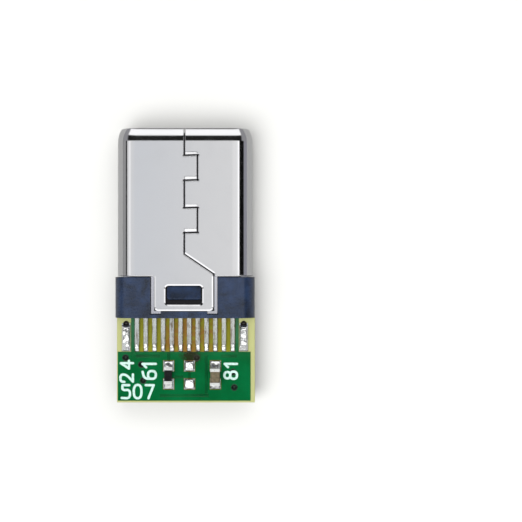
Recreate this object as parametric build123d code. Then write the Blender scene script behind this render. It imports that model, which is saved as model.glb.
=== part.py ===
# Reversible 24-contact plug soldered to a small wire board, lying with its seam side up.
# The origin is the centre of the mouth. +Y points out of the mouth, along the way the plug goes in.
# +X is the board's right edge seen from above, and +Z is up. All sizes are in millimetres.
from build123d import *
from math import asin, degrees, hypot
import os

# Outer shell, rolled from one stamped sheet with its seam on the upper face
shell_width = 8.25
shell_height = 2.40
shell_wall = 0.25
shell_length = 8.93
lip_length = 0.78
lip_drop = 0.20
lip_wall = 0.17
tongue_width = 3.53
upper_tongue_length = 2.08
lower_tongue_length = 2.50
tongue_tip_radius = 0.22
tongue_root_radius = 0.14
window_width = 2.22
window_length = 1.15
window_setback = 0.56
window_radius = 0.20

# Seam: a straight slit with interlocking teeth, then a slant to the tongue's corner
seam_gap = 0.08
seam_x = 0.03
tooth_reach = 0.79
tooth_height = 1.47
tooth_flare = 0.03
edge_roll_width = 0.22
edge_roll_depth = 0.05
corner_relief = 0.05
tooth_count = 2
first_tooth_setback = 1.66
last_tooth_margin = 1.30
slant_inset = 1.34

# Front housing, the black moulding that lines the shell and guides the mating blade
housing_clearance = 0.04
nose_setback = 0.28
nose_chamfer = 0.12
housing_side_wall = 0.405
nose_slot_wall = 0.21
nose_slot_length = 1.65
nose_slot_radius = 0.30
blade_slot_wall = 0.48
housing_end_gap = 0.15
groove_width = 0.34
groove_wall = 0.11
latch_slot_height = 0.32
latch_slot_setback = 1.40

# Contacts: stamped springs moulded into the two carriers, their tails on the board
contact_count = 12
mating_margin = 0.68
tail_margin = 1.344
contact_thickness = 0.15
spring_width = 0.24
tip_width = 0.18
tail_width = 0.25
tail_length = 1.64
contact_point_setback = 2.60
contact_point_height = 0.24
contact_tip_reach = 0.55
contact_tip_rise = 0.20
tip_taper = 1.10
spring_radius = 0.25
fan_front_inset = 1.80
fan_rear_inset = 0.40

# Carriers: two mouldings that hold the contacts and meet at the middle as the dark collar
carrier_reach = 2.80
pocket_side_wall = 0.585
pocket_wall = 0.22
carrier_clearance = 0.02
collar_side_step = 0.125
collar_face_step = 0.02
collar_length = 2.46
collar_gap = 0.06
collar_radius = 0.95
recess_clearance = 0.02
recess_end_gap = 0.03
recess_foot_width = 0.62
recess_foot_length = 0.19

# Latch bumps on the collar, which snap into the shell's windows
bump_width = 2.04
bump_length = 0.80
bump_setback = 0.05
bump_low = 0.10
bump_rise = 0.15
bump_round = 0.06
bump_corner = 0.13

# Ground plates between housing and shell, with spring fingers at the mouth
plate_thickness = 0.10
plate_clearance = 0.01
plate_side_margin = 0.835
plate_setback = 2.15
plate_overhang = 0.245
plate_neck_inset = 0.30
finger_count = 4
finger_pitch = 1.55
finger_width = 0.60
finger_reach = 1.20
finger_drop = 0.26
finger_tip_rise = 0.10
finger_tip_length = 0.32
finger_clearance = 0.06

# Latch frame: a flat stamping with two hooked arms and two tails that clip the board
latch_thickness = 0.24
arm_width = 0.26
arm_offset = 0.03
arm_front_setback = 1.70
hook_setback = 2.45
hook_reach = 0.36
hook_length = 0.55
bridge_rear_inset = 0.25
bridge_length = 2.25
latch_tail_width = 0.40
latch_tail_inset = 0.67
latch_tail_length = 1.46
joggle_inset = 0.94
joggle_length = 0.80
joggle_radius = 0.25

# Circuit board with its masks, copper lands and plated holes
board_side_gap = 0.05
board_offset = 0.06
board_depth = 0.80
board_length = 5.16
board_gap = 0.02
mask_thickness = 0.030
copper_thickness = 0.035
mask_margin = 0.26
mask_left_margin = 0.05
mask_rear_margin = 0.11
mask_opening_gap = 0.03
pin_field_length = 2.07
mask_strip_width = 0.22
land_width = 0.26
land_length = 2.04
latch_land_width = 0.52
latch_land_length = 2.00
latch_land_setback = 0.32
latch_hole_radius = 0.20
latch_hole_inset = 0.40
via_radius = 0.15
hole_sides = 10

# Plated through holes: shares of the board's width from its middle, and of its length from its front
vias = [(-0.438, 0.471), (-0.323, 0.552), (0.342, 0.641), (0.351, 0.822)]

# One more in the left outer wire pad and one beside the spare lands, by a share of the pad's or land's
# width from its middle and the same share of the board's length
pad_via = (0.34, 0.740)
spare_via = (0.68, 0.473)

# Wire pads on the lower face
large_pad_share = 0.547
large_pad_length = 2.00
small_pad_length = 1.62
pad_side_gap = 0.34
pad_outer_gap = 0.79
pad_middle_gap = 0.66
pad_edge_gap = 0.22

# Chip parts on the upper face, each on a pair of lands, placed by a share of the board's width
chip_length = 1.00
chip_cap_length = 0.17
chip_cap_wall = 0.02
resistor_width = 0.46
resistor_height = 0.35
resistor_share = -0.125
capacitor_width = 0.56
capacitor_height = 0.50
capacitor_share = 0.214
capacitor_slip = 0.08
spare_share = 0.026
chip_row_inset = 3.48
chip_land_width = 0.64
chip_land_length = 0.64
chip_land_pitch = 1.10

# Solder
solder_toe = 0.020
solder_slope = 0.70
tail_solder_height = 0.13
chip_solder_share = 0.62
spare_solder_height = 0.11
latch_solder_height = 0.16
latch_hole_depth = 0.30
latch_hole_cover = 0.05

# Values worked out from the sizes above
shell_inside = shell_height / 2 - shell_wall
flat_width = shell_width - shell_height
shell_rear = -shell_length
housing_width = shell_width - 2 * shell_wall - 2 * housing_clearance
housing_height = shell_height - 2 * shell_wall - 2 * housing_clearance
tooth_run = shell_length - first_tooth_setback - tooth_height - last_tooth_margin - slant_inset
tooth_pitch = tooth_run / (tooth_count - 1)
slot_width = housing_width - 2 * housing_side_wall
mating_pitch = (slot_width - 2 * mating_margin) / (contact_count - 1)
collar_width = shell_width + 2 * collar_side_step
collar_height = shell_height - 2 * collar_face_step
collar_front = -(shell_length + collar_gap)
collar_rear = collar_front - collar_length
board_front = collar_rear - board_gap
board_rear = board_front - board_length
board_face = shell_height / 2 - board_depth
mask_face = board_face + mask_thickness
land_face = board_face + copper_thickness
tail_pitch = (collar_width - 2 * tail_margin) / (contact_count - 1)
tail_end = collar_rear - tail_length
carrier_front = shell_rear + carrier_reach
pocket_width = housing_width - 2 * pocket_side_wall
pocket_height = housing_height - 2 * pocket_wall
nose_slot_height = housing_height - 2 * nose_slot_wall
blade_slot_height = housing_height - 2 * blade_slot_wall
groove_top = housing_height / 2 - groove_wall
plate_top = shell_inside - plate_clearance
plate_floor = plate_top - plate_thickness
plate_width = housing_width - 2 * plate_side_margin
plate_rear_width = tongue_width + 2 * plate_overhang
bridge_rear = shell_rear + bridge_rear_inset
bridge_front = bridge_rear + bridge_length
latch_tail_x = collar_width / 2 - latch_tail_inset
board_width = collar_width - 2 * board_side_gap
board_left = board_offset - board_width / 2
board_right = board_offset + board_width / 2
pads_width = board_width / 2 - pad_side_gap - pad_outer_gap - pad_middle_gap / 2
large_pad_width = large_pad_share * pads_width
large_pad_x = board_width / 2 - pad_side_gap - large_pad_width / 2
resistor_x = board_offset + resistor_share * board_width
spare_x = board_offset + spare_share * board_width
capacitor_x = board_offset + capacitor_share * board_width
window_front = shell_rear - window_setback
field_rear = board_front - pin_field_length
chip_row_y = board_front - chip_row_inset
arm_inner_x = slot_width / 2 + arm_offset


def slab(x_low, x_high, y_low, y_high, z_low, z_high):
    """A block between two corners."""
    middle = Pos((x_low + x_high) / 2, (y_low + y_high) / 2, (z_low + z_high) / 2)
    return middle * Box(x_high - x_low, y_high - y_low, z_high - z_low)


def centred_slab(width, y_low, y_high, z_low, z_high, x=0.0):
    """A block of a given width about x."""
    return slab(x - width / 2, x + width / 2, y_low, y_high, z_low, z_high)


def along_y(face, y_low, y_high):
    """A face drawn on XZ, carried from y_low to y_high."""
    return extrude(Plane.XZ.offset(-y_high) * face, amount=y_high - y_low)


def flipped(shape):
    """The same piece for the underside, turned half round about the Y axis."""
    return Rot(0, 180, 0) * shape


def bent_strip(points, radii, thickness, width, x=0.0):
    """A strip of sheet bent along (y, z) points, of a given width about x."""
    line = FilletPolyline(*points, radius=radii) if len(points) > 2 else Polyline(*points)
    side = Plane.YZ * trace(line, line_width=thickness)
    return Pos(x, 0, 0) * extrude(side, amount=width / 2, both=True)


def fused(pieces):
    """All pieces as one shape."""
    whole = pieces[0]
    for piece in pieces[1:]:
        whole = whole + piece
    return whole


def mirrored_pair(piece):
    """A piece and its mirror image in the YZ plane."""
    return piece + mirror(piece, about=Plane.YZ)


# Shell

def sheet_section():
    """The sheet's section from rear edge to mouth, in YZ, for the upper wall."""
    outside = shell_height / 2
    mouth_outside = outside - lip_drop
    mouth_inside = mouth_outside - lip_wall
    drop_inside = shell_inside - mouth_inside
    outer_radius = (lip_length**2 + lip_drop**2) / (2 * lip_drop)
    inner_radius = (lip_length**2 + drop_inside**2) / (2 * drop_inside)
    outer_angle = degrees(asin(lip_length / outer_radius))
    inner_angle = degrees(asin(lip_length / inner_radius))
    outer_lip = CenterArc((-lip_length, outside - outer_radius), outer_radius, 90, -outer_angle)
    inner_lip = CenterArc((-lip_length, shell_inside - inner_radius), inner_radius, 90, -inner_angle)
    outline = [
        Line((-shell_length, outside), (-lip_length, outside)),
        outer_lip,
        Line((0, mouth_outside), (0, mouth_inside)),
        inner_lip,
        Line((-lip_length, shell_inside), (-shell_length, shell_inside)),
        Line((-shell_length, shell_inside), (-shell_length, outside)),
    ]
    return Plane.YZ * make_face(outline)


def rolled_tube():
    """The sheet section carried round the oval: two flat walls and two half-round sides."""
    section = sheet_section()
    flat_wall = extrude(section, amount=flat_width / 2, both=True)
    side_axis = Axis((flat_width / 2, 0, 0), (0, 1, 0))
    side = revolve(Pos(flat_width / 2, 0, 0) * section, axis=side_axis, revolution_arc=180)
    return fused([flat_wall, flipped(flat_wall), side, flipped(side)])


def seam_points():
    """The middle line of the seam on the upper wall, from the mouth to the rear edge."""
    points = [(seam_x, lip_length)]
    for index in range(tooth_count):
        front = -(first_tooth_setback + index * tooth_pitch)
        rear = front - tooth_height
        points += [
            (seam_x, front),
            (seam_x + tooth_reach, front + tooth_flare),
            (seam_x + tooth_reach, rear - tooth_flare),
            (seam_x, rear),
        ]
    corner = tongue_width / 2 + seam_gap / 2
    points += [(seam_x, shell_rear + slant_inset), (corner, shell_rear + tongue_root_radius)]
    points += [(corner, -(shell_length + tongue_root_radius))]
    return points


def seam_cut():
    """A thin wall along the seam's middle line, to cut the sheet with."""
    points = seam_points()
    pieces = []
    for start, end in zip(points, points[1:]):
        run = Vector(*end) - Vector(*start)
        angle = degrees(asin(run.Y / hypot(run.X, run.Y)))
        middle = (Vector(*start) + Vector(*end)) * 0.5
        overrun = 2 * corner_relief if abs(run.Y) < seam_gap else 0
        wall = Box(run.length + seam_gap + overrun, seam_gap, shell_height / 2)
        pieces.append(Pos(middle.X, middle.Y, shell_height * 0.6) * Rot(0, 0, angle) * wall)
    return fused(pieces)


def edge_rolls():
    """Wedges off the sheet's rear-facing edges along the teeth, which the punch rolled down."""
    outside = shell_height / 2
    wedges = []
    for index in range(tooth_count):
        front = -(first_tooth_setback + index * tooth_pitch)
        for y in (front, front - tooth_height):
            outline = Polyline(
                (y + edge_roll_width, outside), (y + edge_roll_width, shell_height), (y, shell_height),
                (y, outside - edge_roll_depth), close=True)
            wedge = extrude(Plane.YZ * make_face(outline), amount=tooth_reach)
            wedges.append(Pos(seam_x, 0, 0) * wedge)
    return fused(wedges)


def tongue(length):
    """The rear tongue on the upper wall, with rounded tip corners and its latch window."""
    rear = -(shell_length + length)
    blade = centred_slab(tongue_width, rear, -shell_length + shell_wall, shell_inside, shell_height / 2)
    tips = blade.edges().filter_by(Axis.Z).sort_by(Axis.Y)[:2]
    return fillet(tips, tongue_tip_radius)


def root_corner(side):
    """The small rounded web between the tongue's edge and the shell's rear edge."""
    x = side * tongue_width / 2
    web = slab(
        min(x, x + side * tongue_root_radius), max(x, x + side * tongue_root_radius),
        -(shell_length + tongue_root_radius), -shell_length, shell_inside, shell_height / 2)
    hollow = Pos(x + side * tongue_root_radius, -(shell_length + tongue_root_radius), shell_inside)
    return web - hollow * Cylinder(tongue_root_radius, shell_height)


def latch_window():
    """The rounded opening in a tongue."""
    outline = RectangleRounded(window_width, window_length, window_radius)
    place = Pos(0, window_front - window_length / 2, shell_inside - shell_wall / 2)
    return place * extrude(outline, amount=2 * shell_wall)


def outer_shell():
    upper = fused([tongue(upper_tongue_length), root_corner(-1)]) - latch_window()
    lower = fused([tongue(lower_tongue_length), root_corner(-1), root_corner(1)]) - latch_window()
    return rolled_tube() + upper + flipped(lower) - seam_cut() - edge_rolls()


# Contacts

def contact(index):
    """One upper contact: a board tail, a moulded-in run, a spring and a rounded contact point."""
    place = index - (contact_count - 1) / 2
    mate_x, tail_x = place * mating_pitch, place * tail_pitch
    tip = -(contact_point_setback - contact_tip_reach)
    middle = land_face + contact_thickness / 2
    point_z = contact_point_height + contact_thickness / 2
    taper_start = tip - tip_taper
    fan_rear, fan_front = shell_rear + fan_rear_inset, shell_rear + fan_front_inset
    path = [
        (tail_end, middle),
        (carrier_front, middle),
        (-contact_point_setback, point_z),
        (tip, point_z + contact_tip_rise),
    ]
    strip = bent_strip(path, spring_radius, contact_thickness, tail_pitch * contact_count * 2)
    half_tail, half_spring, half_tip = tail_width / 2, spring_width / 2, tip_width / 2
    outline = [
        (tail_x - half_tail, tail_end), (tail_x - half_tail, fan_rear),
        (mate_x - half_spring, fan_front), (mate_x - half_spring, taper_start),
        (mate_x - half_tip, tip + contact_thickness), (mate_x + half_tip, tip + contact_thickness),
        (mate_x + half_spring, taper_start), (mate_x + half_spring, fan_front),
        (tail_x + half_tail, fan_rear), (tail_x + half_tail, tail_end),
    ]
    blank = extrude(make_face(Polyline(*outline, close=True)), amount=shell_height / 2)
    return strip & blank


# Latch frame

def latch_frame():
    """Bridge, hooked arms and joggled tails, stamped from one sheet at the middle plane."""
    half = latch_thickness / 2
    arm_x = arm_inner_x + arm_width / 2
    bridge = centred_slab(2 * (arm_inner_x + arm_width), bridge_rear, bridge_front, -half, half)
    arm = centred_slab(arm_width, bridge_front, -arm_front_setback, -half, half, arm_x)
    hook_outline = Polyline(
        (arm_inner_x, -hook_setback - hook_length),
        (arm_inner_x - hook_reach, -hook_setback - hook_length / 3),
        (arm_inner_x - hook_reach, -hook_setback),
        (arm_inner_x, -hook_setback + hook_length),
        (arm_inner_x + arm_width / 2, -hook_setback),
        close=True)
    hook = Pos(0, 0, -half) * extrude(make_face(hook_outline), amount=latch_thickness)
    tail_z = -(land_face + half)
    joggle_front = collar_front - joggle_inset
    tail_path = [
        (bridge_rear + latch_thickness, 0),
        (joggle_front, 0),
        (joggle_front - joggle_length, tail_z),
        (collar_rear - latch_tail_length, tail_z),
    ]
    tail = bent_strip(tail_path, joggle_radius, latch_thickness, latch_tail_width, latch_tail_x)
    return bridge + mirrored_pair(fused([arm, hook, tail]))


# Ground plates

def finger_xs():
    return [(index - (finger_count - 1) / 2) * finger_pitch for index in range(finger_count)]


def ground_plate():
    """The upper plate: a flat leaf that narrows under the tongue, with springs at its front."""
    rear = -(shell_length + upper_tongue_length)
    neck_front = shell_rear + plate_neck_inset
    leaf = centred_slab(plate_width, neck_front, -plate_setback, plate_floor, plate_top)
    neck = centred_slab(plate_rear_width, rear, neck_front, plate_floor, plate_top)
    foot_x = plate_rear_width / 2 - recess_foot_width / 2
    foot = centred_slab(
        recess_foot_width, rear - recess_foot_length, rear, plate_floor, plate_top, foot_x)
    middle = plate_top - plate_thickness / 2
    low_y = -plate_setback + finger_reach - finger_tip_length
    path = [
        (-plate_setback - 2 * plate_thickness, middle),
        (-plate_setback + plate_thickness, middle),
        (low_y, middle - finger_drop),
        (low_y + finger_tip_length, middle - finger_drop + finger_tip_rise),
    ]
    fingers = [bent_strip(path, plate_thickness, plate_thickness, finger_width, x) for x in finger_xs()]
    opening = centred_slab(
        bump_width + 2 * recess_clearance, window_front - bump_setback - bump_length - recess_clearance,
        window_front - bump_setback + recess_clearance, 0, shell_height / 2)
    return fused([leaf, neck, mirrored_pair(foot)] + fingers) - opening


# Front housing

def front_housing():
    """The lining moulding: a rounded slot for the blade, grooves for the springs, latch slots."""
    front, rear = -nose_setback, shell_rear + housing_end_gap
    body = along_y(SlotOverall(housing_width, housing_height), rear, front)
    body = chamfer(body.faces().sort_by(Axis.Y)[-1].edges(), nose_chamfer)
    nose_rear = front - nose_slot_length
    nose_slot = along_y(RectangleRounded(slot_width, nose_slot_height, nose_slot_radius), nose_rear, front)
    blade_slot = centred_slab(slot_width, carrier_front, front, -blade_slot_height / 2, blade_slot_height / 2)
    pocket = centred_slab(pocket_width, rear, carrier_front, -pocket_height / 2, pocket_height / 2)
    latch_slot = centred_slab(
        shell_width, rear, -latch_slot_setback, -latch_slot_height / 2, latch_slot_height / 2)
    half_openings = []
    for index in range(contact_count):
        x = (index - (contact_count - 1) / 2) * mating_pitch
        half_openings.append(
            centred_slab(groove_width, carrier_front, nose_rear, 0, groove_top, x))
    for x in finger_xs():
        half_openings.append(centred_slab(
            finger_width + 2 * finger_clearance, -plate_setback - finger_clearance,
            -plate_setback + finger_reach + finger_clearance, 0, shell_height, x))
    half_openings.append(centred_slab(
        plate_width + 2 * recess_clearance, rear, -plate_setback + plate_thickness,
        plate_floor, shell_height))
    upper_openings = fused(half_openings)
    return body - [nose_slot, blade_slot, pocket, latch_slot, upper_openings, flipped(upper_openings)]


# Carriers

def latch_bump():
    """The ramp that snaps into the shell's window, steep at its rear."""
    front = window_front - bump_setback
    rear = front - bump_length
    base, crest = plate_floor - plate_thickness, plate_top + bump_low + bump_rise
    outline = Polyline(
        (front, base), (front, plate_top + bump_low), (rear + bump_round, crest),
        (rear, crest - bump_round), (rear, base), close=True)
    side = Plane.YZ * make_face(outline)
    bump = extrude(side, amount=bump_width / 2, both=True)
    return chamfer(bump.edges().filter_by(Axis.Z), bump_corner)


def carrier(held_pieces, tongue_length, closed_rear):
    """The upper moulding: a block inside the housing and half of the collar behind the shell."""
    block = centred_slab(
        pocket_width - 2 * carrier_clearance, collar_front, carrier_front, 0,
        pocket_height / 2 - carrier_clearance)
    collar_face = RectangleRounded(collar_width, collar_height, collar_radius)
    collar = along_y(collar_face, collar_rear, collar_front)
    collar = collar & slab(-collar_width, collar_width, collar_rear, collar_front, 0, collar_height)
    tongue_rear = -(shell_length + tongue_length) - recess_end_gap
    recess_rear = tongue_rear if closed_rear else collar_rear
    recess_width = plate_rear_width + 2 * recess_clearance
    recess = centred_slab(recess_width, recess_rear, collar_front, plate_floor, shell_height)
    foot_x = recess_width / 2 - (recess_foot_width + recess_clearance) / 2
    foot = centred_slab(
        recess_foot_width + recess_clearance, tongue_rear - recess_foot_length,
        tongue_rear, plate_floor, shell_height, foot_x)
    cuts = [recess] + ([mirrored_pair(foot)] if closed_rear else [])
    return block + collar - cuts + latch_bump() - held_pieces


# Circuit board

def via_places():
    """The centres of the plated holes that only join the two faces."""
    places = [(board_offset + across * board_width, back) for across, back in vias]
    places.append((board_offset - large_pad_x + pad_via[0] * large_pad_width, pad_via[1]))
    places.append((spare_x + spare_via[0] * chip_land_width, spare_via[1]))
    return [(x, board_front - back * board_length) for x, back in places]


def latch_hole_places():
    return [(side * latch_tail_x, board_front - latch_hole_inset) for side in (-1, 1)]


def pin(x, y, radius, height):
    """A many-sided pin across the board's middle plane, for a drilled hole."""
    return Pos(x, y, 0) * extrude(RegularPolygon(radius, hole_sides), amount=height / 2, both=True)


def hole_pins():
    """Pins through every plated hole, to cut the board and its layers with."""
    vias = [pin(x, y, via_radius, shell_height) for x, y in via_places()]
    return vias + [pin(x, y, latch_hole_radius, shell_height) for x, y in latch_hole_places()]


def chip_land_ys():
    return [chip_row_y - chip_land_pitch / 2, chip_row_y + chip_land_pitch / 2]


def circuit_board():
    sheet = centred_slab(board_width, board_rear, board_front, -board_face, board_face, board_offset)
    return sheet - hole_pins()


def field_openings():
    """What both masks leave bare: the pin field and the strips outside the latch lands."""
    field_half = (contact_count - 1) / 2 * tail_pitch + tail_width / 2 + mask_opening_gap
    outer_start = field_half + mask_strip_width
    field = centred_slab(2 * field_half, field_rear, board_front, 0, shell_height)
    side = slab(outer_start, board_width, field_rear, board_front, 0, shell_height)
    return [field, mirrored_pair(side)]


def upper_mask():
    """Solder mask on the upper face, short of the side and rear edges."""
    sheet = slab(
        board_left + mask_left_margin, board_right - mask_margin,
        board_rear + mask_rear_margin, board_front, board_face, mask_face)
    openings = []
    for x in (resistor_x, spare_x, capacitor_x):
        for y in chip_land_ys():
            openings.append(centred_slab(
                chip_land_width + 2 * mask_opening_gap, y - chip_land_length / 2 - mask_opening_gap,
                y + chip_land_length / 2 + mask_opening_gap, 0, shell_height, x))
    return sheet - field_openings() - openings - hole_pins()


def wire_pad_blocks(grow, z_low, z_high):
    """The four wire pads from left to right, grown by a margin on each side."""
    small_width = pads_width - large_pad_width
    small_x = pad_middle_gap / 2 + small_width / 2
    large, small = (large_pad_width, large_pad_length), (small_width, small_pad_length)
    rear = board_rear + pad_edge_gap
    blocks = []
    row = [(-large_pad_x, large), (-small_x, small), (small_x, small), (large_pad_x, large)]
    for x, (width, length) in row:
        blocks.append(centred_slab(
            width + 2 * grow, rear - grow, rear + length + grow, z_low, z_high, board_offset + x))
    return blocks


def lower_mask():
    """Solder mask on the lower face, short of the side and rear edges."""
    sheet = centred_slab(
        board_width - 2 * mask_margin, board_rear + mask_rear_margin, board_front,
        -mask_face, -board_face, board_offset)
    openings = wire_pad_blocks(mask_opening_gap, -shell_height, 0)
    return sheet - [flipped(piece) for piece in field_openings()] - openings - hole_pins()


def tail_lands():
    """Copper under the contact tails and the latch tails, on the upper face."""
    pieces = []
    for index in range(contact_count):
        x = (index - (contact_count - 1) / 2) * tail_pitch
        pieces.append(centred_slab(
            land_width, board_front - land_length, board_front, board_face, land_face, x))
    latch_rear = board_front - mask_opening_gap - latch_land_length
    latch_front = board_front - latch_land_setback
    for x, y in latch_hole_places():
        land = centred_slab(latch_land_width, latch_rear, latch_front, board_face, land_face, x)
        pieces.append(land - pin(x, y, latch_hole_radius, shell_height))
    return pieces


def component_lands():
    pieces = []
    for x in (resistor_x, spare_x, capacitor_x):
        for y in chip_land_ys():
            pieces.append(centred_slab(
                chip_land_width, y - chip_land_length / 2, y + chip_land_length / 2,
                board_face, land_face, x))
    return pieces


def wire_pads():
    return [block - hole_pins() for block in wire_pad_blocks(0, -land_face, -board_face)]


# Chip parts

def chip_body(x, y, width, height):
    base = land_face + chip_cap_wall
    return centred_slab(width, y - chip_length / 2, y + chip_length / 2, base, base + height, x)


def chip_caps(x, y, width, height):
    """The plated ends, wrapped round the body."""
    caps = []
    for side in (-1, 1):
        end = y + side * (chip_length / 2 + chip_cap_wall)
        inner = y + side * (chip_length / 2 - chip_cap_length)
        block = centred_slab(
            width + 2 * chip_cap_wall, min(end, inner), max(end, inner),
            land_face, land_face + height + 2 * chip_cap_wall, x)
        caps.append(block - chip_body(x, y, width, height))
    return caps


# Solder

def solder_wedge(x, y_tall, y_toe, width, height):
    """A fillet of solder on the upper lands, sloping from its tall side to its toe."""
    outline = Polyline(
        (y_toe, land_face), (y_tall, land_face), (y_tall, land_face + height),
        (y_toe, land_face + solder_toe), close=True)
    return Pos(x, 0, 0) * extrude(Plane.YZ * make_face(outline), amount=width / 2, both=True)


def tail_solder():
    toe = board_front - land_length
    xs = [(index - (contact_count - 1) / 2) * tail_pitch for index in range(contact_count)]
    return [solder_wedge(x, tail_end, toe, land_width, tail_solder_height) for x in xs]


def chip_solder(x, y, width, height):
    pieces = []
    for side in (-1, 1):
        tall = y + side * (chip_length / 2 + chip_cap_wall)
        toe = chip_row_y + side * (chip_land_pitch / 2 + chip_land_length / 2)
        pieces.append(solder_wedge(x, tall, toe, width, chip_solder_share * height))
    return pieces


def spare_solder():
    """Low cushions of solder on the two lands with no part."""
    pieces = []
    for y in chip_land_ys():
        cushion = centred_slab(
            chip_land_width, y - chip_land_length / 2, y + chip_land_length / 2,
            land_face, land_face + spare_solder_height, spare_x)
        rim = cushion.faces().sort_by(Axis.Z)[-1].edges()
        pieces.append(chamfer(rim, spare_solder_height * solder_slope))
    return pieces


def latch_solder(side):
    """Solder on one side: a mound above, a plug low in the hole, and a fillet at the latch tail's end."""
    x, y = latch_hole_places()[0 if side < 0 else 1]
    front = y - latch_hole_cover
    rear = board_front - mask_opening_gap - latch_land_length
    mound = centred_slab(
        latch_land_width, rear, front, land_face, land_face + latch_solder_height, x)
    mound = chamfer(mound.faces().sort_by(Axis.Z)[-1].edges(), latch_solder_height * solder_slope)
    hollow = centred_slab(
        latch_land_width, front, board_front, board_face - latch_hole_depth, shell_height, x)
    plug = pin(x, y, latch_hole_radius, 2 * land_face) - hollow
    end = collar_rear - latch_tail_length
    wedge = solder_wedge(-side * latch_tail_x, end, rear, latch_tail_width, latch_thickness * 0.8)
    return [mound + plug, flipped(wedge)]


def write(name, shape):
    """Writes one node. A list is a group of separate solids."""
    whole = Compound(children=list(shape)) if isinstance(shape, list) else shape
    export_step(whole, f"parts/{name}.step")


def main():
    os.makedirs("parts", exist_ok=True)
    contacts = [contact(index) for index in range(contact_count)]
    frame = latch_frame()
    plate = ground_plate()
    write("outer_shell", outer_shell())
    write("front_housing", front_housing())
    write("upper_carrier", carrier(contacts + [frame], upper_tongue_length, True))
    write("lower_carrier", flipped(carrier(contacts + [flipped(frame)], lower_tongue_length, False)))
    write("latch_frame", frame)
    write("upper_ground_plate", plate)
    write("lower_ground_plate", flipped(plate))
    for index, piece in enumerate(contacts):
        write(f"upper_contact_{index + 1:02d}", piece)
        write(f"lower_contact_{contact_count - index:02d}", flipped(piece))
    write("circuit_board", circuit_board())
    write("upper_mask", upper_mask())
    write("lower_mask", lower_mask())
    write("upper_lands", tail_lands())
    write("lower_lands", [flipped(piece) for piece in tail_lands()])
    write("component_lands", component_lands())
    for index, pad in enumerate(wire_pads()):
        write(f"wire_pad_{index + 1}", pad)
    resistor = (resistor_x, chip_row_y, resistor_width, resistor_height)
    capacitor = (capacitor_x, chip_row_y - capacitor_slip, capacitor_width, capacitor_height)
    write("resistor_body", chip_body(*resistor))
    write("resistor_caps", chip_caps(*resistor))
    write("capacitor_body", chip_body(*capacitor))
    write("capacitor_caps", chip_caps(*capacitor))
    write("upper_tail_solder", tail_solder())
    write("lower_tail_solder", [flipped(piece) for piece in tail_solder()])
    write("resistor_solder", chip_solder(*resistor))
    write("capacitor_solder", chip_solder(*capacitor))
    write("spare_solder", spare_solder())
    write("latch_solder_left", latch_solder(-1))
    write("latch_solder_right", latch_solder(1))


main()
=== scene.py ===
import math
import bpy
import numpy as np
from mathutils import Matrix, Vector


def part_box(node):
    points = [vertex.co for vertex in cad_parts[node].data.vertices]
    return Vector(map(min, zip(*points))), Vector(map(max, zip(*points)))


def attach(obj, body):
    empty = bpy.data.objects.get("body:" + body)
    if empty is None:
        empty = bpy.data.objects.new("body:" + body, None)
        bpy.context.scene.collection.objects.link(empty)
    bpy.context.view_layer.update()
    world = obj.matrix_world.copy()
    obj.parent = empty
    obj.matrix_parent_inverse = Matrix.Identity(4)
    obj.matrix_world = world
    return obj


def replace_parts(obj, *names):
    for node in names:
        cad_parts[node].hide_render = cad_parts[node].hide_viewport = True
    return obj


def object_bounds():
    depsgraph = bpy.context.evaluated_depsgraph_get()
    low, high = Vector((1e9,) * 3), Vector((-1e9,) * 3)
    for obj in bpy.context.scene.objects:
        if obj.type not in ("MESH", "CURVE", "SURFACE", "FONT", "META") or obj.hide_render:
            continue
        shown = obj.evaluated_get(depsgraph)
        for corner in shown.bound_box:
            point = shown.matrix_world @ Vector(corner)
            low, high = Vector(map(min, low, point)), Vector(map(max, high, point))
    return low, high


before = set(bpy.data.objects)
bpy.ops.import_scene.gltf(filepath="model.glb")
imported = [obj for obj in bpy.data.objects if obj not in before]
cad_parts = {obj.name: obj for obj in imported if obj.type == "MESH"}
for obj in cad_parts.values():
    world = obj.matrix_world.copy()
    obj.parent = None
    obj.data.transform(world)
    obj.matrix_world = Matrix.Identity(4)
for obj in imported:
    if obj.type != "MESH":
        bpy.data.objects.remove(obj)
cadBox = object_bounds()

mm = 0.001
print("frame loaded,", len(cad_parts), "nodes")

# Faces and edges that the new pieces stand on and the finishes go by, in millimetres
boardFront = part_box("circuit_board")[1].y / mm
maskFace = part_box("upper_mask")[1].z / mm
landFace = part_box("component_lands")[1].z / mm
shellRear = -8.93


def hexColour(code):  # sRGB hex, such as 1A2B3C, to linear colour and full alpha
    values = [int(code[i:i + 2], 16) / 255 for i in (0, 2, 4)]
    return (*[v / 12.92 if v <= 0.04045 else ((v + 0.055) / 1.055) ** 2.4 for v in values], 1.0)


def addNode(tree, kind, settings=None, links=None):
    # settings name sockets by name or number, or attributes; "stops" fills a colour ramp
    # links feed sockets from a node's first output or from a given socket
    node = tree.nodes.new(kind)
    for name, value in (settings or {}).items():
        if name == "stops":
            elements = node.color_ramp.elements
            while len(elements) > 1:
                elements.remove(elements[-1])
            for index, (place, colour) in enumerate(value):
                element = elements[0] if index == 0 else elements.new(place)
                element.position = place
                element.color = hexColour(colour) if isinstance(colour, str) else (*np.resize(colour, 3), 1)
        elif isinstance(name, int) or name in node.inputs:
            node.inputs[name].default_value = value
        else:
            setattr(node, name, value)
    for name, source in (links or {}).items():
        tree.links.new(source.outputs[0] if hasattr(source, "outputs") else source, node.inputs[name])
    return node


def newMaterial(name):
    material = bpy.data.materials.new(name)
    material.use_nodes = True
    tree = material.node_tree
    tree.nodes.clear()
    place = addNode(tree, "ShaderNodeTexCoord").outputs["Object"]
    return material, tree, place


def finishMaterial(tree, settings, links):
    shader = addNode(tree, "ShaderNodeBsdfPrincipled", settings, links)
    addNode(tree, "ShaderNodeOutputMaterial", {}, {"Surface": shader})


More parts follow.
